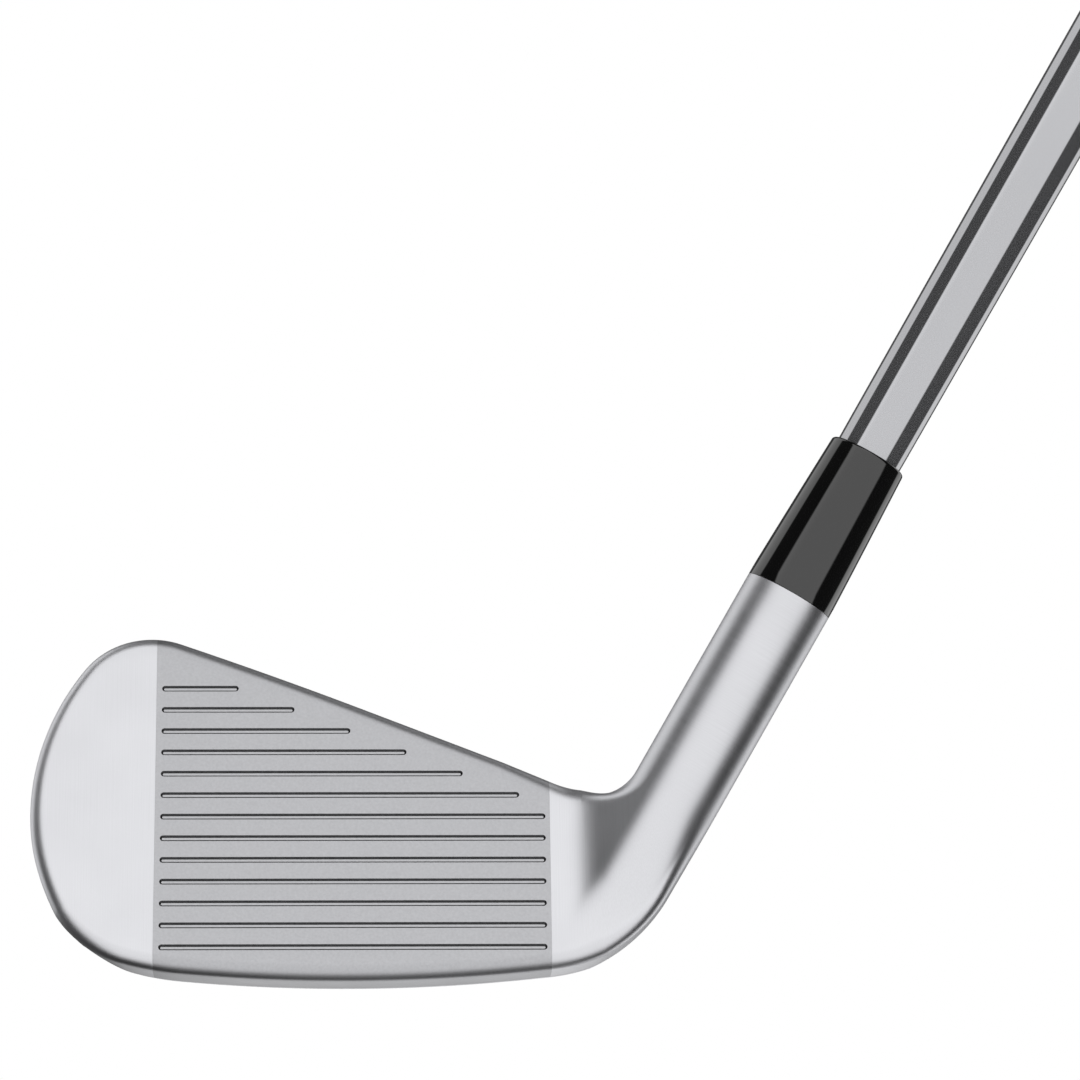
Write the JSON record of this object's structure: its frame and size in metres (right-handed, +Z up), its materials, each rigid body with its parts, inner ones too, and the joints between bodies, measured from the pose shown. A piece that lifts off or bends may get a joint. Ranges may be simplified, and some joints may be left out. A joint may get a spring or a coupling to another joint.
{
  "type": "iron golf club",
  "caption": "Right-handed long iron: hollow forged blade with horizontal score lines, curved hosel, black ferrule, stepped chrome shaft and tapered rubber grip.",
  "frame": {"origin": "point of the sole that touches the ground at address", "axes": "+X from toe to heel along the leading edge, -Y the way the face looks, +Z up from the ground"},
  "size_m": [0.574, 0.0297, 0.8537],
  "materials": {
    "satin_steel": "satin brushed chrome over forged steel",
    "blasted_steel": "fine blasted steel with milled score lines",
    "tungsten": "sintered, matt",
    "elastomer": "cast elastomer",
    "screw_steel": "machined",
    "slot_polymer": "smooth polymer",
    "badge_metal": "fine brushed dark aluminium",
    "adhesive_foam": "thin foam tape",
    "epoxy": "cured adhesive",
    "plug_rubber": "soft rubber",
    "ferrule_black": "polished black cellulose",
    "shaft_chrome": "polished chrome plate",
    "band_foil": "glossy foil with plain bands",
    "tape_paper": "creped paper tape",
    "grip_rubber": "moulded black rubber with a fine raised pattern",
    "cap_rubber": "smooth moulded rubber"
  },
  "bodies": {
    "root": {"head_body": "satin_steel", "face_plate": "blasted_steel", "toe_weight": "tungsten", "core_filler": "elastomer", "port_screw": "screw_steel", "slot_insert": "slot_polymer", "back_badge": "badge_metal", "badge_tape": "adhesive_foam", "hosel_epoxy": "epoxy", "tip_plug": "plug_rubber", "ferrule": "ferrule_black", "shaft": "shaft_chrome", "shaft_band": "band_foil", "grip_tape": "tape_paper", "grip": "grip_rubber", "grip_cap": "cap_rubber"}
  },
  "joints": []
}
